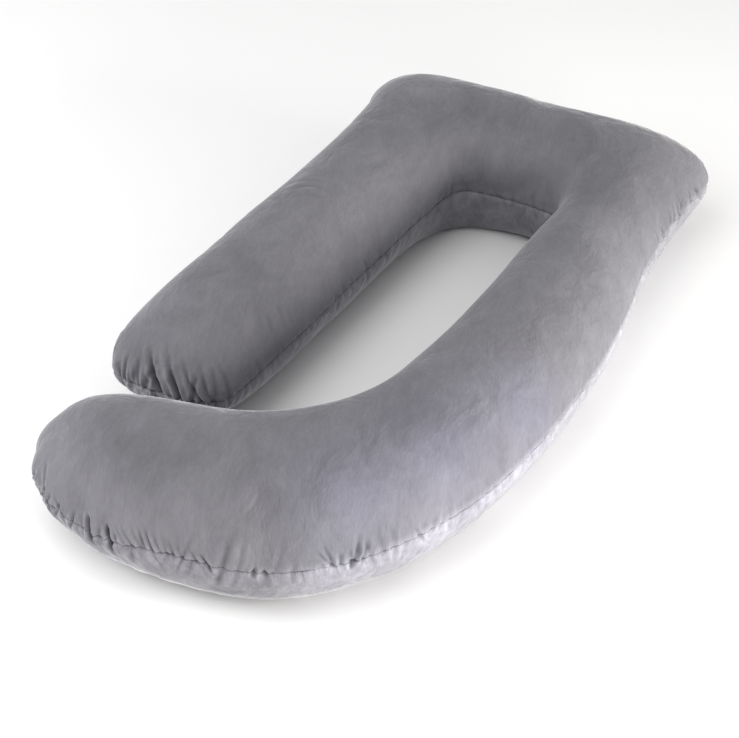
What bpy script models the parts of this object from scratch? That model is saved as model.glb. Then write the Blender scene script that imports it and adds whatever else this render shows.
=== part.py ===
"""Body pillow in one G-shaped piece, sewn from an upper and a lower panel and filled.

The pillow lies flat: a straight left arm, a head bar, and a right arm that curls
round at the foot and ends in a round tip close to the left arm's squared end.
Its frame has +Y towards the head bar, +Z up and z = 0 on the surface it lies on.
The body is one closed loft. Each section spans from the seam on the inner side
to the seam on the outer side, with a full crown above and a flat strip below.
"""
import math

import bmesh
import bpy
import numpy as np

for item in list(bpy.data.objects):
    bpy.data.objects.remove(item)

NAME = "body_pillow"

# Driving dimensions, in metres.
SEAM_HEIGHT = 0.112         # the sewn edge, half the thickness of the filled pillow
ARM_RISE = 0.108            # how far an arm's crown stands above the seam
ARM_HALF_WIDTH = 0.125      # the arm width at which the crown reaches that rise
EVENNESS = 10.0             # how firmly the upper panel is held to that rise all over
BELLY_PRESS = 1.06          # how far the filling would bulge below the surface it lies on
BELLY_ROUNDING = 1.33       # how steeply the lower panel turns in from the seam
SEAM_DRAW_IN = 0.005        # depth of the valley that the stitching pulls into the side
SEAM_VALLEY = 0.013         # half-height of that valley
DRAW_IN_SHARE = 0.25        # the valley's most, as a share of the way to the section's middle
LYING_HEIGHT = 0.002        # below this the lower panel lies flat and takes no folds
STATION_STEP = 0.0235       # spacing of the sections along the run
PANEL_STEPS = 16            # faces across one panel, from seam to seam
SEAM_CROWDING = 0.16        # how much closer the panel's points stand near the seams

# The run of the pillow seen from above, from the left arm's end to the curl's tip.
# Each row is a section: its seam point on the inner side, then the one on the outer side.
INNER = slice(0, 2)
OUTER = slice(2, 4)
RUN = (
    # inner x, inner y, outer x, outer y
    (-0.103, -0.286, -0.353, -0.286),       # left arm, where its end begins
    (-0.102, -0.174, -0.352, -0.174),
    (-0.102, 0.026, -0.353, 0.046),
    (-0.102, 0.206, -0.350, 0.246),
    (-0.100, 0.336, -0.353, 0.416),
    (-0.096, 0.401, -0.366, 0.552),         # head bar's left corner
    (-0.091, 0.421, -0.391, 0.637),
    (-0.082, 0.434, -0.361, 0.701),
    (-0.068, 0.442, -0.283, 0.719),
    (-0.040, 0.447, -0.177, 0.715),
    (0.012, 0.449, -0.028, 0.716),          # head bar
    (0.064, 0.447, 0.101, 0.719),
    (0.094, 0.442, 0.202, 0.724),           # head bar's right corner
    (0.112, 0.433, 0.282, 0.723),
    (0.120, 0.422, 0.316, 0.686),
    (0.125, 0.406, 0.316, 0.633),
    (0.124, 0.381, 0.315, 0.562),
    (0.121, 0.341, 0.320, 0.473),
    (0.121, 0.286, 0.329, 0.372),           # right arm
    (0.127, 0.186, 0.359, 0.221),
    (0.131, 0.066, 0.383, 0.066),
    (0.132, -0.044, 0.390, -0.094),
    (0.127, -0.154, 0.385, -0.244),
    (0.115, -0.249, 0.363, -0.386),         # curl at the foot
    (0.088, -0.329, 0.312, -0.518),
    (0.042, -0.386, 0.234, -0.623),
    (-0.018, -0.419, 0.137, -0.692),
    (-0.083, -0.435, 0.023, -0.715),
    (-0.138, -0.443, -0.089, -0.730),
    (-0.178, -0.450, -0.184, -0.706),       # curl, where its tip begins
)

# The two closed ends: how far each goes past its last section, and how square it is
# seen from above, as a superellipse exponent, where 2 is round.
LEFT_ARM_END = {"reach": 0.099, "squareness": 3.0}
CURL_TIP = {"reach": 0.126, "squareness": 2.15}
END_STEPS = 8

RING_POINTS = 2 * PANEL_STEPS

# The gathers that show from a step away. Each row is a soft trough across the seam:
# where it crosses, which way the side faces there in degrees, its lean, and its size.
FOLD_COLUMNS = ("x", "y", "facing", "lean", "depth", "half_width", "reach")
FOLDS = (
    (-0.327, -0.337, 215, 0.15, 0.006, 0.016, 0.060),    # left arm's squared end
    (-0.295, -0.368, 250, 0.10, 0.007, 0.015, 0.070),
    (-0.259, -0.382, 267, 0.00, 0.008, 0.015, 0.075),
    (-0.219, -0.385, 270, -0.25, 0.010, 0.016, 0.095),
    (-0.183, -0.385, 270, -0.20, 0.009, 0.015, 0.090),
    (-0.145, -0.380, 274, -0.15, 0.007, 0.015, 0.080),
    (-0.295, -0.552, 180, 0.20, 0.006, 0.016, 0.055),    # curl's tip
    (-0.283, -0.624, 205, 0.30, 0.007, 0.016, 0.060),
    (-0.237, -0.672, 232, 0.30, 0.007, 0.016, 0.060),
    (-0.115, -0.714, 264, -0.35, 0.010, 0.017, 0.070),
    (-0.075, -0.719, 268, -0.35, 0.011, 0.017, 0.075),
    (-0.019, -0.718, 273, -0.45, 0.007, 0.017, 0.070),
    (0.033, -0.711, 278, -0.40, 0.006, 0.017, 0.065),
    (0.086, -0.699, 284, -0.20, 0.006, 0.017, 0.050),    # foot of the curl
    (0.153, -0.672, 296, 0.20, 0.005, 0.017, 0.050),
    (0.239, -0.607, 312, 0.20, 0.005, 0.017, 0.050),
    (0.315, 0.446, 3, 0.45, 0.007, 0.018, 0.080),        # beside the head bar
    (0.307, 0.523, 0, 0.45, 0.006, 0.018, 0.075),
    (0.309, 0.598, -4, 0.40, 0.005, 0.018, 0.065),
)

FABRIC_COLOUR = (0.235, 0.231, 0.262)   # grey velvet, linear light
FABRIC_ROUGHNESS = 0.85


def smooth_rows(rows, step):
    """Rows read off the smooth curve through the given rows, about one step apart."""
    rows = np.array(rows)
    outer = rows[:, OUTER]
    middle = (rows[:, INNER] + outer) / 2
    chord = (np.linalg.norm(np.diff(middle, axis=0), axis=1)
             + np.linalg.norm(np.diff(outer, axis=0), axis=1)) / 2
    along = np.concatenate([[0.0], np.cumsum(chord)])
    slopes = np.gradient(rows, along, axis=0)
    count = int(round(along[-1] / step)) + 1
    places = np.linspace(0.0, along[-1], count)
    result = []
    for place in places:
        k = min(int(np.searchsorted(along, place, side="right")) - 1, len(along) - 2)
        span = along[k + 1] - along[k]
        t = (place - along[k]) / span
        near = 2 * t**3 - 3 * t**2 + 1
        far = 1 - near
        near_slope = (t**3 - 2 * t**2 + t) * span
        far_slope = (t**3 - t**2) * span
        result.append(near * rows[k] + far * rows[k + 1]
                      + near_slope * slopes[k] + far_slope * slopes[k + 1])
    return np.array(result)


def end_rows(last, before, reach, squareness):
    """Rows that close one end. The last has no width: it is the end's middle on the seam."""
    centre = (last[INNER] + last[OUTER]) / 2
    half = (last[OUTER] - last[INNER]) / 2
    onward = centre - (before[INNER] + before[OUTER]) / 2
    onward = onward / np.linalg.norm(onward)
    rows = []
    for turn in np.linspace(0.0, math.pi / 2, END_STEPS + 1)[1:]:
        middle = centre + onward * reach * math.sin(turn) ** (2 / squareness)
        width = max(math.cos(turn), 0.0) ** (2 / squareness)
        rows.append(np.concatenate([middle - half * width, middle + half * width]))
    return rows


def panel_plan():
    """The flat panel: a grid of points from inner to outer seam, and its two end points."""
    body = list(smooth_rows(RUN, STATION_STEP))
    start = end_rows(body[0], body[1], **LEFT_ARM_END)
    finish = end_rows(body[-1], body[-2], **CURL_TIP)
    rows = start[-2::-1] + body + finish[:-1]
    turns = np.linspace(0.0, math.pi, PANEL_STEPS + 1)
    shares = (1 - np.cos(turns - SEAM_CROWDING * np.sin(2 * turns))) / 2
    grid = np.array([[row[INNER] + (row[OUTER] - row[INNER]) * share for share in shares]
                     for row in rows])
    return grid, start[-1][INNER], finish[-1][INNER]


def panel_faces(row_count):
    """Triangles of the panel's grid. The two end points come after the grid's own points."""
    wide = PANEL_STEPS + 1
    faces = []
    for row in range(row_count - 1):
        for k in range(PANEL_STEPS):
            corner = row * wide + k
            faces.append((corner, corner + 1, corner + wide + 1))
            faces.append((corner, corner + wide + 1, corner + wide))
    for row, tip in ((0, row_count * wide), (row_count - 1, row_count * wide + 1)):
        faces += [(row * wide + k, row * wide + k + 1, tip) for k in range(PANEL_STEPS)]
    return np.array(faces)


def inflate(grid, tips):
    """How far the filling lifts each point of the panel, as a share of an arm's rise.

    The lift follows a membrane held along the seam and pushed evenly from below. Its
    square root gives an arm a round section and lets the wide corners rise a little more.
    """
    points = np.concatenate([grid.reshape(-1, 2), tips])
    faces = panel_faces(len(grid))
    corners = points[faces]
    edges = np.roll(corners, -1, axis=1) - np.roll(corners, 1, axis=1)
    cross = edges[:, 0, 0] * edges[:, 1, 1] - edges[:, 0, 1] * edges[:, 1, 0]
    area = np.abs(cross) / 2
    stiffness = np.zeros((len(points), len(points)))
    load = np.zeros(len(points))
    for i in range(3):
        np.add.at(load, faces[:, i], area / 3)
        for j in range(3):
            pull = (edges[:, i] * edges[:, j]).sum(axis=1) / (4 * area)
            np.add.at(stiffness, (faces[:, i], faces[:, j]), pull)
    wide = PANEL_STEPS + 1
    number = np.arange(len(grid) * wide)
    free = number[(number % wide != 0) & (number % wide != PANEL_STEPS)]
    lift = np.zeros(len(points))
    lift[free] = np.linalg.solve(stiffness[np.ix_(free, free)], load[free])
    return np.sqrt(2 * lift[:-2]).reshape(len(grid), wide) / ARM_HALF_WIDTH


def pillow_rings():
    """One closed ring of points a section, over the upper panel and back under the lower."""
    grid, start_tip, finish_tip = panel_plan()
    lift = inflate(grid, [start_tip, finish_tip])
    rings = []
    for row, shares in zip(grid, lift):
        outwards = (row[-1] - row[0]) / np.linalg.norm(row[-1] - row[0])
        sides = np.linalg.norm(row - (row[0] + row[-1]) / 2, axis=1)
        held = shares * (2 / (1 + shares**EVENNESS)) ** (1 / EVENNESS)
        upper = ARM_RISE * held
        lower = -SEAM_HEIGHT * np.minimum(BELLY_PRESS * held**BELLY_ROUNDING, 1.0)
        ring = []
        for k in list(range(PANEL_STEPS + 1)) + list(range(PANEL_STEPS - 1, 0, -1)):
            rise = upper[k] if len(ring) <= PANEL_STEPS else lower[k]
            pull = min(SEAM_DRAW_IN * math.exp(-(rise / SEAM_VALLEY) ** 2),
                       DRAW_IN_SHARE * sides[k])
            place = row[k] + outwards * (pull if k < PANEL_STEPS / 2 else -pull)
            ring.append((place[0], place[1], SEAM_HEIGHT + rise))
        rings.append(ring)
    poles = [(tip[0], tip[1], SEAM_HEIGHT) for tip in (start_tip, finish_tip)]
    return rings, poles


def press_folds(mesh_data):
    """Push the points inwards along each trough, but never the strip that lies flat."""
    mesh_data.normal_update()
    normals = [vert.normal.copy() for vert in mesh_data.verts]
    for vert, normal in zip(mesh_data.verts, normals):
        if vert.co.z < LYING_HEIGHT:
            continue
        press = 0.0
        for row in FOLDS:
            fold = dict(zip(FOLD_COLUMNS, row))
            facing = math.radians(fold["facing"])
            out_x, out_y = math.cos(facing), math.sin(facing)
            gap_x, gap_y = vert.co.x - fold["x"], vert.co.y - fold["y"]
            rise = vert.co.z - SEAM_HEIGHT
            inwards = -(gap_x * out_x + gap_y * out_y)
            along = -gap_x * out_y + gap_y * out_x - fold["lean"] * rise
            away = math.hypot(inwards, rise)
            press += (fold["depth"] * math.exp(-(along / fold["half_width"]) ** 2)
                      * math.exp(-(away / fold["reach"]) ** 2))
        vert.co -= normal * press
        vert.co.z = max(vert.co.z, 0.0)


def build_pillow():
    """The filled pillow as one closed mesh."""
    rings, poles = pillow_rings()
    mesh_data = bmesh.new()
    loops = [[mesh_data.verts.new(point) for point in ring] for ring in rings]
    for low, high in zip(loops, loops[1:]):
        for k in range(RING_POINTS):
            after = (k + 1) % RING_POINTS
            mesh_data.faces.new((low[k], low[after], high[after], high[k]))
    for loop, pole in ((loops[0], poles[0]), (loops[-1], poles[1])):
        tip = mesh_data.verts.new(pole)
        for k in range(RING_POINTS):
            mesh_data.faces.new((loop[k], loop[(k + 1) % RING_POINTS], tip))
    bmesh.ops.recalc_face_normals(mesh_data, faces=mesh_data.faces)
    press_folds(mesh_data)
    mesh = bpy.data.meshes.new("pillow")
    mesh_data.to_mesh(mesh)
    mesh_data.free()
    mesh.shade_smooth()
    return mesh


def velvet():
    """Grey short-pile velvet."""
    material = bpy.data.materials.new("grey_velvet")
    material.use_nodes = True
    shader = material.node_tree.nodes["Principled BSDF"]
    shader.inputs["Base Color"].default_value = (*FABRIC_COLOUR, 1.0)
    shader.inputs["Roughness"].default_value = FABRIC_ROUGHNESS
    shader.inputs["Metallic"].default_value = 0.0
    return material


collection = bpy.data.collections.new(NAME)
bpy.context.scene.collection.children.link(collection)
pillow_mesh = build_pillow()
pillow_mesh.materials.append(velvet())
collection.objects.link(bpy.data.objects.new("pillow", pillow_mesh))
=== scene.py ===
"""Body pillow: the finish of its velvet cover, its gathers and its seam, and the studio round it."""
from itertools import compress
import math

import bmesh
import bpy
import numpy as np
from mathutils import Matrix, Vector, kdtree, noise


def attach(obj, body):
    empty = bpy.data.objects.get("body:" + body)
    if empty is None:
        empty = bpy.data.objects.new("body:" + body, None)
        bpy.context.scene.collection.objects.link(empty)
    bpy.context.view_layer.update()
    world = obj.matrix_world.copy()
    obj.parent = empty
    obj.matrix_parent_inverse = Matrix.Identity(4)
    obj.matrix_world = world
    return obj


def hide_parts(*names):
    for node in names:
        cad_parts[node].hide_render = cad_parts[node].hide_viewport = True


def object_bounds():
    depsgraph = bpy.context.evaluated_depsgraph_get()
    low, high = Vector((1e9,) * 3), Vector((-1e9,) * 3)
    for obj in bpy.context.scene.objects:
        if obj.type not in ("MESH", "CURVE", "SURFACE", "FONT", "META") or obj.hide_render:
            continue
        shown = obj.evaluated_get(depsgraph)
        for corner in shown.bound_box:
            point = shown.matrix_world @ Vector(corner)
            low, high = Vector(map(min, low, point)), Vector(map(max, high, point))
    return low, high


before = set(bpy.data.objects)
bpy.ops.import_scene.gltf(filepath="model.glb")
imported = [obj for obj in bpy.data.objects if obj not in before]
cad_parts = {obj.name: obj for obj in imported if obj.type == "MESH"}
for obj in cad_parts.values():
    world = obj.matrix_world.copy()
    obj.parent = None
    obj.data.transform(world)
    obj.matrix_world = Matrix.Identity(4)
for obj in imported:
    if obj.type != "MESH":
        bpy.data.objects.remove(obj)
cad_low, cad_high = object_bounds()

# ---------------------------------------------------------------------------------------
# The cover. An upper and a lower panel of short-pile velvet, cut alike and sewn together
# along one edge, turned right side out and stuffed until the pillow stands full. The one
# seam runs all the way round at half height, so the body starts as even cells with a row
# of points on that seam.
SEAM_HEIGHT = 0.112                     # the sewn edge above the surface it lies on
CELL = SEAM_HEIGHT / 13.5               # 8.3 mm, which puts a row of points on the seam
SEAM_SNAP = CELL / 4                    # points this close to the seam's height move on to it
MERGE = 0.00001                         # points closer than this are one


def even_cells(node, cell):
    """A new piece with the node's shape, merged and laid out again in even cells."""
    shell = bmesh.new()
    shell.from_mesh(node.data)
    bmesh.ops.remove_doubles(shell, verts=shell.verts, dist=MERGE)
    mesh = bpy.data.meshes.new("cover_start")
    shell.to_mesh(mesh)
    shell.free()
    piece = bpy.data.objects.new("pillow_cover", mesh)
    bpy.context.scene.collection.objects.link(piece)
    remesh = piece.modifiers.new("cells", "REMESH")
    remesh.mode = "VOXEL"
    remesh.voxel_size = cell
    view = bpy.context.evaluated_depsgraph_get()
    piece.data = bpy.data.meshes.new_from_object(piece.evaluated_get(view))
    piece.data.name = "pillow_cover"
    piece.modifiers.clear()
    return piece


def cut_level(shell, height):
    """Cut the mesh right round at one height."""
    bmesh.ops.bisect_plane(shell, geom=shell.verts[:] + shell.edges[:] + shell.faces[:],
                           dist=MERGE, plane_co=(0, 0, height), plane_no=(0, 0, 1))


cover = even_cells(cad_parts["pillow"], CELL)
shell = bmesh.new()
shell.from_mesh(cover.data)
for vert in shell.verts:
    if abs(vert.co.z - SEAM_HEIGHT) < SEAM_SNAP:
        vert.co.z = SEAM_HEIGHT
cut_level(shell, SEAM_HEIGHT)
shell.to_mesh(cover.data)
shell.free()

# ---------------------------------------------------------------------------------------
# The filling. Loose fibre pushes the cover out evenly while the stitching holds its edge,
# and both panels are cut a little fuller than that edge, so the arms crown up and the
# velvet beside the seam draws into soft puckers.
LYING = 0.002                           # below this the lower panel lies flat and is held
FULL_AT = 0.020                         # how far from the seam the panels are fullest
FULL_REACH = 0.080                      # and how far from it they are full at all
FULLNESS = 0.08                         # how much longer than their edge they are there
FILL_PRESSURE = 4.0
FILL_FRAMES = 14                        # frames until it stands full
FRAME_STEPS = 4                         # and the solver's steps in each
STIFFNESS = 0.5                         # how little the velvet bends
SHAPE_ROUNDS = 70                       # rounds of averaging that find the body's own swell
SOFT_ROUNDS = 2                         # rounds that take the cells' own unevenness out
MOVE_CAP = 0.004                        # no point of the cover moves further than this


def positions(mesh):
    """The mesh's points as an array."""
    places = np.empty(len(mesh.vertices) * 3)
    mesh.vertices.foreach_get("co", places)
    return places.reshape(-1, 3)


def averaged(values, edges, rounds):
    """The values at each point, averaged with their neighbours' that many times."""
    counts = np.bincount(edges.ravel(), minlength=len(values))[:, None]
    for _ in range(rounds):
        total = np.zeros_like(values)
        np.add.at(total, edges[:, 0], values[edges[:, 1]])
        np.add.at(total, edges[:, 1], values[edges[:, 0]])
        values = (values + total / counts) / 2
    return values


def stuff(piece):
    """Fill the cover under pressure. Returns each point's movement, less the whole body's."""
    rest = positions(piece.data)
    held = piece.vertex_groups.new(name="lying")
    held.add([int(i) for i in np.flatnonzero(rest[:, 2] < LYING)], 1.0, "REPLACE")
    full = piece.vertex_groups.new(name="cut_full")
    for i, off in enumerate(np.abs(rest[:, 2] - SEAM_HEIGHT)):
        if off < FULL_REACH:
            full.add([i], off / FULL_AT * math.exp(1 - off / FULL_AT), "REPLACE")
    cloth = piece.modifiers.new("filling", "CLOTH")
    cloth.settings.quality = FRAME_STEPS
    cloth.settings.bending_stiffness = STIFFNESS
    cloth.settings.use_pressure = True
    cloth.settings.uniform_pressure_force = FILL_PRESSURE
    cloth.settings.effector_weights.gravity = 0
    cloth.settings.vertex_group_mass = "lying"
    cloth.settings.vertex_group_shrink = "cut_full"
    cloth.settings.shrink_min = 0.0
    cloth.settings.shrink_max = -FULLNESS
    cloth.collision_settings.use_collision = False
    cloth.point_cache.frame_start = 1
    cloth.point_cache.frame_end = FILL_FRAMES
    for step in range(1, FILL_FRAMES + 1):
        bpy.context.scene.frame_set(step)
    view = bpy.context.evaluated_depsgraph_get()
    filled = bpy.data.meshes.new_from_object(piece.evaluated_get(view))
    moved = positions(filled) - rest
    bpy.data.meshes.remove(filled)
    bpy.context.scene.frame_set(1)
    piece.modifiers.clear()
    piece.vertex_groups.clear()
    edges = np.empty(len(piece.data.edges) * 2, int)
    piece.data.edges.foreach_get("vertices", edges)
    edges = edges.reshape(-1, 2)
    moved -= averaged(moved, edges, SHAPE_ROUNDS)
    moved = averaged(moved, edges, SOFT_ROUNDS)
    size = np.linalg.norm(moved, axis=1, keepdims=True)
    return moved * np.minimum(1, MOVE_CAP / np.maximum(size, MERGE))


puffed = np.zeros((len(cover.data.vertices), 3))
puffed = stuff(cover)

# ---------------------------------------------------------------------------------------
# The seam. A plain seam sewn on the inside: a fine line where the two panels roll in to
# meet, with no piping. The cells are made finer beside it, so that its valley and the
# gathers that cross it are real shapes.
BAND = 0.043                            # the finer cells reach this far above and below
SEAM_LIP = 0.0018                       # where the panels start to roll in
SEAM_DEPTH = 0.0028                     # how deep they roll in
SEAM_WIDTH = 0.0032                     # and how far above and below it they do


def places_of(shell):
    """The mesh's points as an array."""
    return np.array([vert.co[:] for vert in shell.verts])


def finer(shell, inside):
    """Halve every cell whose points all pass the test, and ease the new points."""
    chosen = set(compress(shell.verts, inside(places_of(shell))))
    edges = [edge for edge in shell.edges if chosen.issuperset(edge.verts)]
    bmesh.ops.subdivide_edges(shell, edges=edges, cuts=1, use_grid_fill=True,
                              use_single_edge=True)
    places = places_of(shell)
    eased = inside(places) & (np.abs(places[:, 2] - SEAM_HEIGHT) > MERGE)
    bmesh.ops.smooth_vert(shell, verts=list(compress(shell.verts, eased)), factor=0.5,
                          use_axis_x=True, use_axis_y=True, use_axis_z=True)


def seam_line(shell):
    """The seam's points in order round the pillow, as an array."""
    on_seam = {vert for vert in shell.verts if abs(vert.co.z - SEAM_HEIGHT) < MERGE}
    first = min(on_seam, key=lambda vert: abs(vert.co.x) + abs(vert.co.y - cad_high.y))
    line = [first]
    before = None
    while len(line) == 1 or line[-1] is not first:
        after = [edge.other_vert(line[-1]) for edge in line[-1].link_edges]
        after = [vert for vert in after if vert in on_seam and vert is not before]
        before = line[-1]
        line.append(after[0])
    places = np.array([vert.co[:] for vert in line[:-1]])
    turned = np.roll(places, -1, axis=0)
    if (places[:, 0] * turned[:, 1] - turned[:, 0] * places[:, 1]).sum() < 0:
        places = places[::-1]
    return places


SEAM_SAG = (                            # x, y and how far the stitching wanders down there
    (-0.300, -0.372, 0.006),
    (-0.130, -0.372, 0.006),
    (-0.250, -0.672, 0.004),
    (-0.150, -0.710, 0.010),
    (-0.100, -0.716, 0.012),
    (-0.060, -0.716, 0.009),
    (-0.020, -0.714, 0.005),
    (0.040, -0.705, 0.003),
    (0.085, -0.697, 0.004),
    (0.150, -0.676, 0.007),
    (0.200, -0.645, 0.009),
    (0.262, -0.584, 0.010),
    (0.324, -0.483, 0.005),
    (0.340, 0.000, 0.003),
    (0.320, 0.550, 0.002),
)
SAG_REACH = 0.035                       # how far above and below the seam follows it

shell = bmesh.new()
shell.from_mesh(cover.data)
puff_layer = shell.verts.layers.float_vector.new("puff")
for vert, move in zip(shell.verts, puffed):
    vert[puff_layer] = move
finer(shell, lambda places: np.abs(places[:, 2] - SEAM_HEIGHT) < BAND)
seam = seam_line(shell)
ahead = np.roll(seam, -2, axis=0) - np.roll(seam, 2, axis=0)
ahead /= np.linalg.norm(ahead, axis=1, keepdims=True)
steps = np.linalg.norm(np.diff(seam, axis=0, append=seam[:1]), axis=1)
seam_run = np.concatenate([[0.0], np.cumsum(steps)[:-1]])
SEAM_LENGTH = steps.sum()
seam_finder = kdtree.KDTree(len(seam))
for i, place in enumerate(seam):
    seam_finder.insert((place[0], place[1], 0), i)
seam_finder.balance()


def seam_spot(x, y):
    """The number of the seam's point that is nearest to a place seen from above."""
    return seam_finder.find((x, y, 0))[1]


def along_seam(rows):
    """Values given at a few places on the seam, passing evenly from each to the next."""
    values = {seam_spot(x, y): value for x, y, value in rows}
    spots = sorted(values)
    return np.interp(seam_run, seam_run[spots], [values[spot] for spot in spots],
                     period=SEAM_LENGTH)


seam_drop = along_seam(SEAM_SAG)

# ---------------------------------------------------------------------------------------
# The gathers. Where the cut edge curves, the seam takes up more velvet than it needs, so
# short creases run from the stitching up the crown and down the side. The deep ones stand
# at the curl's front and on the left arm's squared end. Here the cells are finer again.
BOTH, UPPER, LOWER = 0, 1, -1           # the panels that a gather creases
# The x and y where a gather leaves the seam, its panel, its lean along the seam for each metre
# away from it, its length, half-width and depth. Their ends were picked by hand in the photo
# and cast on to the shape by a scratch script, and widths and depths were judged by eye.
GATHERS = (
    (-0.299, -0.371, UPPER, -0.10, 0.032, 0.0032, 0.0034),   # left arm's squared end
    (-0.289, -0.374, UPPER, -0.10, 0.050, 0.0034, 0.0036),
    (-0.278, -0.376, UPPER, -0.14, 0.028, 0.0030, 0.0028),
    (-0.270, -0.376, UPPER, -0.03, 0.042, 0.0030, 0.0024),
    (-0.261, -0.376, UPPER, -0.07, 0.050, 0.0032, 0.0040),
    (-0.216, -0.377, UPPER, -0.60, 0.076, 0.0046, 0.0072),
    (-0.178, -0.376, UPPER, -0.60, 0.080, 0.0044, 0.0062),
    (-0.143, -0.364, UPPER, -0.70, 0.072, 0.0040, 0.0040),
    (-0.129, -0.356, UPPER, -0.40, 0.072, 0.0040, 0.0030),
    (-0.262, -0.661, BOTH, 0.60, 0.034, 0.0032, 0.0034),     # curl's tip
    (-0.228, -0.683, BOTH, 0.70, 0.030, 0.0030, 0.0028),
    (-0.212, -0.694, BOTH, 0.60, 0.024, 0.0028, 0.0022),
    (-0.187, -0.701, BOTH, 0.50, 0.024, 0.0028, 0.0026),
    (-0.174, -0.704, UPPER, -0.80, 0.026, 0.0034, 0.0040),
    (-0.153, -0.710, BOTH, 0.31, 0.026, 0.0030, 0.0030),
    (-0.116, -0.715, BOTH, -0.13, 0.028, 0.0038, 0.0095),    # deep folds of the curl's front
    (-0.116, -0.715, LOWER, -0.13, 0.036, 0.0036, 0.0045),
    (-0.079, -0.716, BOTH, -0.20, 0.028, 0.0036, 0.0090),
    (-0.079, -0.716, LOWER, -0.20, 0.036, 0.0034, 0.0045),
    (-0.048, -0.716, UPPER, -0.60, 0.034, 0.0032, 0.0026),
    (-0.036, -0.716, UPPER, -0.54, 0.040, 0.0032, 0.0028),
    (-0.026, -0.714, UPPER, -0.42, 0.040, 0.0032, 0.0030),
    (-0.017, -0.714, UPPER, -0.32, 0.040, 0.0034, 0.0040),
    (-0.005, -0.713, UPPER, -0.35, 0.042, 0.0032, 0.0038),
    (0.007, -0.710, UPPER, -0.35, 0.040, 0.0032, 0.0026),
    (0.017, -0.708, UPPER, -0.20, 0.036, 0.0032, 0.0030),
    (0.028, -0.705, UPPER, -0.36, 0.030, 0.0032, 0.0030),
    (0.041, -0.705, UPPER, -0.20, 0.026, 0.0030, 0.0022),
    (0.066, -0.701, UPPER, -0.41, 0.028, 0.0034, 0.0034),
    (0.083, -0.697, BOTH, -0.63, 0.018, 0.0036, 0.0056),     # notches along its front
    (0.150, -0.676, BOTH, 0.20, 0.012, 0.0030, 0.0050),
    (0.166, -0.669, BOTH, -0.30, 0.009, 0.0026, 0.0038),
    (0.243, -0.603, UPPER, -0.80, 0.032, 0.0030, 0.0032),
    (0.246, -0.601, UPPER, -0.48, 0.036, 0.0030, 0.0034),
    (0.251, -0.595, UPPER, 0.03, 0.024, 0.0030, 0.0030),
    (0.263, -0.583, BOTH, 0.06, 0.016, 0.0034, 0.0056),
    (0.268, -0.578, UPPER, 0.21, 0.042, 0.0034, 0.0052),
    (0.276, -0.569, UPPER, 0.35, 0.028, 0.0030, 0.0028),
    (0.324, -0.483, BOTH, -0.51, 0.022, 0.0032, 0.0030),
    (0.315, 0.430, UPPER, -0.30, 0.052, 0.0034, 0.0030),     # beside the head bar
    (0.314, 0.469, UPPER, -0.50, 0.052, 0.0034, 0.0032),
    (0.313, 0.500, UPPER, -0.20, 0.050, 0.0034, 0.0030),
    (0.309, 0.531, UPPER, -0.43, 0.050, 0.0034, 0.0032),
    (0.311, 0.552, UPPER, -0.40, 0.044, 0.0034, 0.0026),
    (0.310, 0.581, UPPER, -0.55, 0.042, 0.0034, 0.0028),
    (0.309, 0.610, UPPER, -0.59, 0.040, 0.0034, 0.0026),
    (0.314, 0.639, BOTH, -0.80, 0.032, 0.0038, 0.0040),
)
# Soft creases higher up, found the same way: three places on each, its half-width and depth.
CREASES = (
    ((-0.300, 0.145, 0.203), (-0.266, 0.168, 0.217), (-0.200, 0.168, 0.220), 0.0060, 0.0011),
    ((-0.290, 0.108, 0.209), (-0.253, 0.147, 0.219), (-0.190, 0.154, 0.219), 0.0060, 0.0013),
    ((-0.262, 0.092, 0.218), (-0.226, 0.124, 0.221), (-0.180, 0.124, 0.217), 0.0060, 0.0010),
    ((-0.252, -0.193, 0.216), (-0.240, -0.170, 0.218), (-0.225, -0.143, 0.218), 0.0060, 0.0010),
    ((-0.133, -0.183, 0.183), (-0.122, -0.187, 0.169), (-0.112, -0.194, 0.150), 0.0050, 0.0016),
    ((-0.135, -0.148, 0.186), (-0.121, -0.153, 0.168), (-0.110, -0.162, 0.146), 0.0050, 0.0016),
)
CREASE_STEPS = 40                       # points along each of them
FOLD_REACH = 0.014                      # the finer cells reach this far past each crease
FOLD_SHARPNESS = 1.5                    # the power that a fold's trough falls off with
SHOULDER = 0.40                         # how much a crease lifts the velvet beside it
SHOULDER_AT = 2.2                       # and how many half-widths from its middle
SMALL_SPACING = 0.021                   # the small puckers between them, about this far apart
SMALL_LENGTH = 0.030
SMALL_WIDTH = 0.0040
SMALL_DEPTH = 0.0013
SMALL_SEED = 11
CORNER_MORE = 1.6                       # how much more a sharp corner gathers
CORNER_CURVE = 12.0                     # the curve of such a corner, one over metres
CORNER_SPAN = 4                         # points of the seam either way that it is measured over


def off_crease(places, first, middle, last):
    """Each point's distance from a crease, and how far along it, from 0 to 1, it is nearest."""
    share = np.linspace(0, 1, CREASE_STEPS)[:, None]
    curve = (np.array(first) * (1 - share) * (1 - 2 * share)
             + np.array(middle) * 4 * share * (1 - share)
             + np.array(last) * share * (2 * share - 1))
    off = np.array([np.linalg.norm(places - spot, axis=1) for spot in curve])
    return off.min(axis=0), share[off.argmin(axis=0), 0]


def near_fold(places):
    """Which points are near one of the gathers or soft creases."""
    near = np.zeros(len(places), bool)
    for *curve, _, _ in CREASES:
        near |= off_crease(places, *curve)[0] < FOLD_REACH
    for x, y, _, lean, length, _, _ in GATHERS:
        spot = seam_spot(x, y)
        off = places - seam[spot]
        across = np.abs((off * ahead[spot]).sum(axis=1))
        side_reach = FOLD_REACH + abs(lean) * length
        near |= (np.linalg.norm(off, axis=1) < length) & (across < side_reach)
    return near


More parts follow.
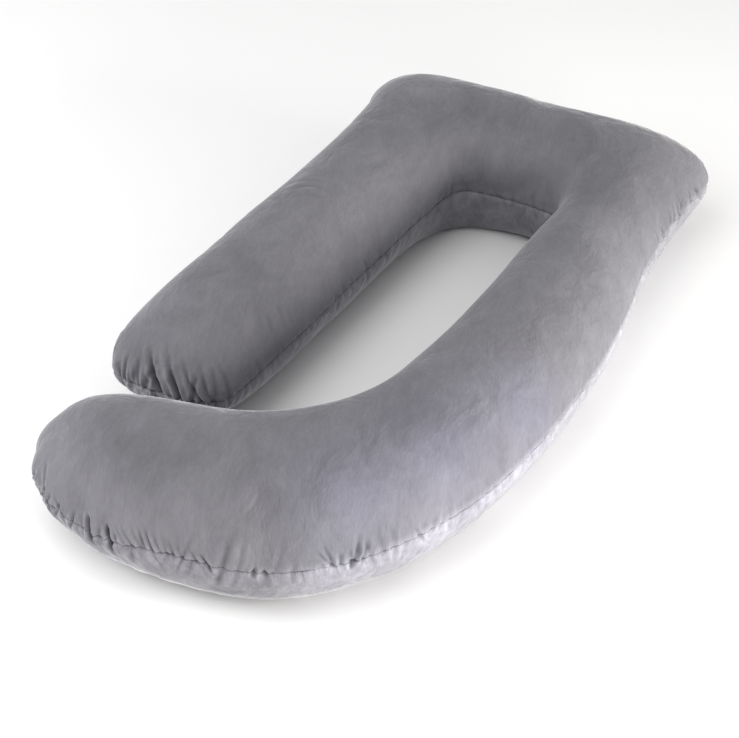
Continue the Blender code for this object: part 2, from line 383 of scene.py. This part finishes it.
finer(shell, near_fold)
cut_level(shell, SEAM_HEIGHT + SEAM_LIP)
cut_level(shell, SEAM_HEIGHT - SEAM_LIP)
shell.normal_update()
body = places_of(shell)
outwards = np.array([vert.normal[:] for vert in shell.verts])
puffs = np.array([vert[puff_layer][:] for vert in shell.verts])
nearest = np.array([seam_spot(place[0], place[1]) for place in body])
gap = body - seam[nearest]
along = seam_run[nearest] + (gap * ahead[nearest]).sum(axis=1)
inwards = -gap[:, 0] * ahead[nearest, 1] + gap[:, 1] * ahead[nearest, 0]
rise = gap[:, 2]
away = np.hypot(inwards, rise)

seam_out = np.stack([ahead[nearest, 1], -ahead[nearest, 0], np.zeros(len(body))], axis=1)
roll_in = SEAM_DEPTH * np.exp(-(rise / SEAM_WIDTH) ** 2) * (away < BAND)
shape = body + puffs - seam_out * roll_in[:, None]
shape[:, 2] -= seam_drop[nearest] * np.exp(-(rise / SAG_REACH) ** 2)


def fold(across):
    """A fold's section: a narrow trough, with the velvet lifted beside it."""
    trough = np.exp(-across ** FOLD_SHARPNESS)
    return trough - SHOULDER * np.exp(-(across - SHOULDER_AT) ** 2)


def gather_press(run, side, lean, length, half_width, depth):
    """How far one gather presses each point in."""
    off = (along - run + SEAM_LENGTH / 2) % SEAM_LENGTH - SEAM_LENGTH / 2
    across = np.abs(off - lean * np.copysign(away, rise)) / half_width
    fade = np.clip(1 - (away / length) ** 2, 0, 1)
    if side != BOTH:
        fade = fade * np.where(rise * side > -MERGE, 1.0, np.exp(-(rise / SEAM_WIDTH) ** 2))
    return depth * fade * fold(across)


press = np.zeros(len(body))
for x, y, side, lean, length, half_width, depth in GATHERS:
    press += gather_press(seam_run[seam_spot(x, y)], side, lean, length, half_width, depth)
for *curve, half_width, depth in CREASES:
    off, share = off_crease(body, *curve)
    press += depth * np.sin(math.pi * share) * fold(off / half_width)
bend = np.cross(np.roll(ahead, CORNER_SPAN, axis=0), np.roll(ahead, -CORNER_SPAN, axis=0))[:, 2]
bend /= 2 * CORNER_SPAN * SEAM_LENGTH / len(seam)
chance = np.random.default_rng(SMALL_SEED)
for run in np.arange(0, SEAM_LENGTH, SMALL_SPACING):
    run += chance.uniform(-0.4, 0.4) * SMALL_SPACING
    spot = int(np.searchsorted(seam_run, run % SEAM_LENGTH)) % len(seam)
    more = 1 + CORNER_MORE * min(max(bend[spot] / CORNER_CURVE, 0), 1)
    press += gather_press(run, side=int(chance.integers(-1, 2)),
                          lean=chance.uniform(-0.5, 0.5),
                          length=SMALL_LENGTH * more * chance.uniform(0.6, 1.2),
                          half_width=SMALL_WIDTH * chance.uniform(0.8, 1.3),
                          depth=SMALL_DEPTH * more * chance.uniform(0.4, 1.6))
shape -= outwards * press[:, None]

# ---------------------------------------------------------------------------------------
# The filling's unevenness. Loose fibre never packs evenly, so the crown has soft swells
# under the velvet. The lower panel rests on its own weight, and its lying face stays flat.
LUMP_SIZE = 0.13
LUMP_HEIGHT = 0.0022
LUMP_FADE = 0.03                        # lumps fade out this close to the surface it lies on

lumps = np.array([noise.noise(Vector(place) / LUMP_SIZE) for place in body])
fade = np.clip((body[:, 2] - LYING) / LUMP_FADE, 0, 1)
shape += outwards * (LUMP_HEIGHT * lumps * fade)[:, None]
lying = body[:, 2] < LYING
shape[lying] = body[lying]
shape[:, 2] = np.maximum(shape[:, 2], 0.0)
for vert, place in zip(shell.verts, shape):
    vert.co = place

# ---------------------------------------------------------------------------------------
# The lie of the nap, with painted light and shade. Velvet looks lighter or darker by the way its
# pile was last brushed. The places below hold that, and they also paint light and shade on to it:
# the darker places on the head bar and the left arm's inner side are painted shadow. The lower
# panel is painted lighter than the upper one, a little for its nap and most of all on the right,
# where it paints the light falling there. Shades were set by comparing the render's brightness
# with the photo's, or guessed where the photo hides it.
NAP_AND_PAINTED_LIGHT = (         # a place where the pile is lighter or darker, partly painted light and shade, its reach and its shade
    (-0.035, -0.645, 0.215, 0.070, 0.84),
    (0.182, -0.621, 0.195, 0.055, 0.84),
    (0.340, -0.445, 0.130, 0.060, 1.20),
    (-0.215, -0.655, 0.180, 0.060, 1.22),
    (-0.130, -0.705, 0.150, 0.055, 1.06),
    (0.000, -0.710, 0.135, 0.090, 1.24),
    (-0.124, 0.498, 0.224, 0.120, 0.80),
    (0.073, 0.521, 0.221, 0.090, 0.82),
    (0.265, 0.454, 0.205, 0.110, 0.87),
    (0.310, 0.560, 0.150, 0.120, 0.84),
    (0.281, 0.248, 0.207, 0.050, 1.10),
    (-0.160, -0.123, 0.204, 0.100, 0.84),
    (-0.140, -0.250, 0.185, 0.090, 0.86),
    (-0.289, -0.355, 0.157, 0.045, 0.86),
    (-0.293, -0.258, 0.198, 0.050, 1.14),
    (-0.241, 0.556, 0.225, 0.060, 1.20),
)
LOWER_PANEL_PAINTED_LIGHT = (   # x, y and how much lighter the lower panel is painted beside that place, mostly painted light
    (-0.250, -0.672, 1.25),
    (0.000, -0.715, 1.30),
    (0.145, -0.678, 1.28),
    (0.205, -0.640, 1.45),
    (0.245, -0.600, 1.90),
    (0.310, -0.510, 1.68),
    (0.374, -0.312, 1.86),
    (0.386, -0.190, 2.00),
    (0.384, 0.004, 1.85),
    (0.365, 0.164, 2.20),
    (0.315, 0.430, 1.80),
    (0.000, 0.720, 1.30),
    (-0.340, 0.000, 1.20),
    (-0.200, -0.377, 1.30),
    (-0.100, 0.000, 1.40),
    (0.113, 0.000, 1.40),
    (-0.200, -0.440, 1.30),
)
LOWER_FADE = (-0.003, 0.015)            # the heights from the seam between which it fades out
VIOLET = (          # places where the nap looks more violet, and their reach
    (0.321, -0.382, 0.201, 0.110),
    (0.230, -0.540, 0.180, 0.090),
    (0.355, -0.200, 0.170, 0.080),
)


def nearness(x, y, z, reach):
    """How near each point is to a place: 1 there, fading out over the reach."""
    off = np.linalg.norm(body - (x, y, z), axis=1)
    return np.exp(-(off / reach) ** 2)


# Each point's shade: the pile's own lie, with painted light and shade
nap_and_painted_light = np.ones(len(body))
for x, y, z, reach, shade in NAP_AND_PAINTED_LIGHT:
    nap_and_painted_light *= 1 + (shade - 1) * nearness(x, y, z, reach)
# The lower panel's painted light, fading out a little above the seam
lower_panel_painted_light = along_seam(LOWER_PANEL_PAINTED_LIGHT)[nearest]
nap_and_painted_light *= 1 + (lower_panel_painted_light - 1) * np.interp(rise, LOWER_FADE, (1, 0))
violet = np.zeros(len(body))
for x, y, z, reach in VIOLET:
    violet += nearness(x, y, z, reach)

seam_map = shell.loops.layers.uv.new("seam_map")
shell.verts.index_update()
for face in shell.faces:
    face.smooth = True
    for loop in face.loops:
        i = loop.vert.index
        ahead_of_face = along[i] - along[face.verts[0].index]
        turns = round(ahead_of_face / SEAM_LENGTH)
        loop[seam_map].uv = (along[i] - turns * SEAM_LENGTH, rise[i])
shell.verts.layers.float_vector.remove(puff_layer)
for name, values in (("crease", press), ("nap_and_painted_light", nap_and_painted_light), ("violet", violet)):
    layer = shell.verts.layers.float.new(name)
    for vert, value in zip(shell.verts, values):
        vert[layer] = value
shell.to_mesh(cover.data)
shell.free()

# ---------------------------------------------------------------------------------------
# The velvet. Short-pile polyester velvet, mid grey with a violet cast: matt, with a pale
# sheen where it turns away from the eye, patches where the pile lies another way, and
# fine streaks along the nap.


def linear(hex_colour):
    """A colour given as sRGB hex, as linear light."""
    parts = [int(hex_colour[i:i + 2], 16) / 255 for i in (0, 2, 4)]
    return [c / 12.92 if c <= 0.04045 else ((c + 0.055) / 1.055) ** 2.4 for c in parts] + [1.0]


def add_node(material, kind, links=(), **settings):
    """Add a node. Settings are its own values or, by a socket's name, that input's value."""
    tree = material.node_tree
    node = tree.nodes.new(kind)
    for name, value in settings.items():
        if hasattr(node, name):
            setattr(node, name, value)
        else:
            node.inputs[name.replace("_", " ")].default_value = value
    for socket, source in dict(links).items():
        tree.links.new(source, node.inputs[socket])
    return node


NAP_ANGLE = math.radians(18)            # the nap runs up the pillow, turned a little
# The nap's patterns: their width and their length along the nap, in metres, their detail and
# their place in the noise. Real tufts are about 0.3 mm wide and brush marks 1 mm. That is too
# fine to show at 1.7 mm to a pixel, so "tufts" and "streaks" are as coarse as they need to be.
NAP_PATTERNS = (
    ("patches", 0.060, 0.085, 4.0, 0.0),
    ("crushed", 0.013, 0.020, 3.0, 9.0),
    ("strokes", 0.011, 0.040, 3.0, 3.0),
    ("streaks", 0.0024, 0.012, 3.0, 7.0),
    ("tufts", 0.0022, 0.009, 2.0, 5.0),
)
NAP_GREY = "6e6d72"
NAP_VIOLET = "6d6c77"                   # where the nap looks more violet
SHEEN_GREY = "e6e5e8"
SEAM_SHADE = 0.0011                     # half-width of the dark line where the panels meet: painted shade in the seam's groove
SEAM_UNEVEN = 0.05                      # and how far apart its darker stretches are
CRUSHED_REACH = 0.010                   # the lower panel's pile is crushed, to just above it
PUCKER_WIDTH = 0.0055                   # the finest puckers at the stitching
PUCKER_LENGTH = 0.045
PUCKER_TURN = math.radians(12)          # how far they lean from upright
PUCKER_REACH = 0.020                    # and how far from the seam they fade out


def velvet():
    """Short-pile velvet, brushed along its nap."""
    material = bpy.data.materials.new("short_pile_velvet")
    material.use_nodes = True
    shader = material.node_tree.nodes["Principled BSDF"]
    place = add_node(material, "ShaderNodeTexCoord").outputs["Object"]
    # The pile's lie with painted light and shade, kept on each point
    nap_and_painted_light_node = add_node(material, "ShaderNodeAttribute", attribute_name="nap_and_painted_light")
    crease = add_node(material, "ShaderNodeAttribute", attribute_name="crease").outputs["Fac"]
    nap = {}
    for name, width, length, detail, shift in NAP_PATTERNS:
        turned = add_node(material, "ShaderNodeMapping", {"Vector": place}, vector_type="TEXTURE",
                          Location=(shift, shift, 0), Rotation=(0, 0, NAP_ANGLE),
                          Scale=(width, length, length))
        uneven = add_node(material, "ShaderNodeTexNoise", {"Vector": turned.outputs["Vector"]},
                          Scale=1.0, Detail=detail, Roughness=0.55, Distortion=0.5)
        nap[name] = uneven.outputs["Fac"]

    seam_place = add_node(material, "ShaderNodeUVMap", uv_map="seam_map").outputs["UV"]
    above = add_node(material, "ShaderNodeSeparateXYZ", {"Vector": seam_place}).outputs["Y"]
    off_seam = add_node(material, "ShaderNodeMath", {0: above}, operation="ABSOLUTE")
    off_seam = off_seam.outputs["Value"]
    # The seam's dark line: painted shade in its groove, darker in uneven stretches
    stretches = add_node(material, "ShaderNodeTexNoise", {"Vector": seam_place},
                         Scale=1 / SEAM_UNEVEN, Detail=1.0)
    darkest = add_node(material, "ShaderNodeMapRange", {"Value": stretches.outputs["Fac"]},
                       From_Min=0.35, From_Max=0.65, To_Min=0.85, To_Max=0.40)
    line = add_node(material, "ShaderNodeMapRange",
                    {"Value": off_seam, "To Min": darkest.outputs["Result"]},
                    From_Min=SEAM_SHADE / 2, From_Max=SEAM_SHADE * 2, To_Max=1.0)
    shade = add_node(material, "ShaderNodeMath",
                     {0: line.outputs["Result"], 1: nap_and_painted_light_node.outputs["Fac"]},
                     operation="MULTIPLY").outputs["Value"]
    crushed = add_node(material, "ShaderNodeMapRange", {"Value": nap["crushed"]},
                       From_Min=0.35, From_Max=0.65, To_Min=0.84, To_Max=1.10)
    crushed = add_node(material, "ShaderNodeMapRange",
                       {"Value": above, "To Min": crushed.outputs["Result"]},
                       From_Min=0.0, From_Max=CRUSHED_REACH, To_Max=1.0)
    shade = add_node(material, "ShaderNodeMath", {0: shade, 1: crushed.outputs["Result"]},
                     operation="MULTIPLY").outputs["Value"]
    shades = (      # a value, its range, and how light the pile is at either end of that
        (nap["patches"], 0.35, 0.65, 0.92, 1.07),
        (nap["strokes"], 0.30, 0.70, 0.95, 1.05),
        (nap["streaks"], 0.30, 0.70, 0.93, 1.07),
        # painted shade in the troughs of the gathers and creases, painted light on their lifted
        # shoulders
        (crease, -0.0015, 0.0045, 1.12, 0.60),
        (crease, 0.0045, 0.0090, 1.00, 0.40),
    )
    for value, low, high, at_low, at_high in shades:
        level = add_node(material, "ShaderNodeMapRange", {"Value": value}, From_Min=low,
                         From_Max=high, To_Min=at_low, To_Max=at_high)
        shade = add_node(material, "ShaderNodeMath", {0: shade, 1: level.outputs["Result"]},
                         operation="MULTIPLY").outputs["Value"]

    cast = add_node(material, "ShaderNodeAttribute", attribute_name="violet").outputs["Fac"]
    colour = add_node(material, "ShaderNodeMix", {"Factor": cast}, data_type="RGBA")
    colour.inputs[6].default_value = linear(NAP_GREY)
    colour.inputs[7].default_value = linear(NAP_VIOLET)
    tinted = add_node(material, "ShaderNodeVectorMath", {0: colour.outputs[2], "Scale": shade},
                      operation="SCALE")
    material.node_tree.links.new(tinted.outputs["Vector"], shader.inputs["Base Color"])

    drawn = add_node(material, "ShaderNodeMapping", {"Vector": seam_place}, vector_type="TEXTURE",
                     Rotation=(0, 0, PUCKER_TURN), Scale=(PUCKER_WIDTH, PUCKER_LENGTH, 1.0))
    drawn = add_node(material, "ShaderNodeTexNoise", {"Vector": drawn.outputs["Vector"]},
                     Scale=1.0, Detail=2.0, Roughness=0.6, Distortion=0.4)
    fade = add_node(material, "ShaderNodeMapRange", {"Value": off_seam}, From_Min=0.0,
                    From_Max=PUCKER_REACH, To_Min=1.0, To_Max=0.0)
    puckers = add_node(material, "ShaderNodeMath",
                       {0: drawn.outputs["Fac"], 1: fade.outputs["Result"]},
                       operation="MULTIPLY").outputs["Value"]
    puckers = add_node(material, "ShaderNodeBump", {"Height": puckers},
                       Strength=0.8, Distance=0.003)
    brushing = add_node(material, "ShaderNodeBump",
                        {"Height": nap["patches"], "Normal": puckers.outputs["Normal"]},
                        Strength=0.5, Distance=0.014)
    pile = add_node(material, "ShaderNodeBump",
                    {"Height": nap["tufts"], "Normal": brushing.outputs["Normal"]},
                    Strength=0.55, Distance=0.0008)
    material.node_tree.links.new(pile.outputs["Normal"], shader.inputs["Normal"])
    shader.inputs["Roughness"].default_value = 0.9
    shader.inputs["Specular IOR Level"].default_value = 0.2
    shader.inputs["Sheen Weight"].default_value = 0.75
    shader.inputs["Sheen Roughness"].default_value = 0.28
    shader.inputs["Sheen Tint"].default_value = linear(SHEEN_GREY)
    return material


cover.data.materials.clear()
cover.data.materials.append(velvet())
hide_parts("pillow")
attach(cover, "root")

# ---------------------------------------------------------------------------------------
# The studio: a plain pale floor, soft boxes above, at the left and low at the right, and the
# camera, whose place and lens were solved from the pillow's outline in the photo.
FLOOR_SIZE = 120.0
FLOOR_WHITE = "f4f4f4"
ROOM_LIGHT = 0.63                       # the strength of the white room round it
VIEW_AZIMUTH = 29.6                     # degrees from the front, round to the right
VIEW_HEIGHT = 35.8                      # degrees above the floor
VIEW_DISTANCE = 3.61
VIEW_TARGET = Vector((0.035, -0.126, 0.09))
LENS = 104.5
SENSOR = 36.0
SOFT_BOXES = (      # azimuth and height in degrees, distance, side, watts and colour
    ("soft_box_above", -20, 62, 3.5, 2.5, 45, "ffffff"),
    ("soft_box_front", 66, 7, 3.6, 1.4, 106, "fffdf8"),
    ("soft_box_right", 100, 6, 3.0, 1.4, 118, "fffdf8"),
    ("soft_box_left", -65, 15, 3.2, 1.6, 66, "ffffff"),
)

floor_shape = bmesh.new()
bmesh.ops.create_grid(floor_shape, x_segments=1, y_segments=1, size=FLOOR_SIZE / 2)
floor_mesh = bpy.data.meshes.new("studio_floor")
floor_shape.to_mesh(floor_mesh)
floor_shape.free()
floor = bpy.data.objects.new("studio_floor", floor_mesh)
bpy.context.scene.collection.objects.link(floor)
paper = bpy.data.materials.new("white_paper")
paper.use_nodes = True
paper.node_tree.nodes["Principled BSDF"].inputs["Base Color"].default_value = linear(FLOOR_WHITE)
paper.node_tree.nodes["Principled BSDF"].inputs["Roughness"].default_value = 0.9
floor_mesh.materials.append(paper)

room = bpy.data.worlds.new("studio_light")
room.use_nodes = True
room.node_tree.nodes["Background"].inputs["Color"].default_value = linear("ffffff")
room.node_tree.nodes["Background"].inputs["Strength"].default_value = ROOM_LIGHT
bpy.context.scene.world = room
bpy.context.scene.view_settings.view_transform = "Standard"


def towards(azimuth, height):
    """The direction from the pillow to something at that azimuth and height in degrees."""
    azimuth = math.radians(azimuth)
    height = math.radians(height)
    return Vector((math.sin(azimuth) * math.cos(height),
                   -math.cos(azimuth) * math.cos(height), math.sin(height)))


for name, azimuth, height, distance, side, watts, colour in SOFT_BOXES:
    light = bpy.data.lights.new(name, "AREA")
    light.shape = "SQUARE"
    light.size = side
    light.energy = watts
    light.color = linear(colour)[:3]
    box = bpy.data.objects.new(name, light)
    aim = towards(azimuth, height)
    box.location = VIEW_TARGET + aim * distance
    box.rotation_euler = aim.to_track_quat("Z", "Y").to_euler()
    bpy.context.scene.collection.objects.link(box)

lens = bpy.data.cameras.new("camera")
lens.lens = LENS
lens.sensor_width = SENSOR
camera = bpy.data.objects.new("camera", lens)
back = towards(VIEW_AZIMUTH, VIEW_HEIGHT)
camera.location = VIEW_TARGET + back * VIEW_DISTANCE
camera.rotation_euler = back.to_track_quat("Z", "Y").to_euler()
bpy.context.scene.collection.objects.link(camera)
bpy.context.scene.camera = camera
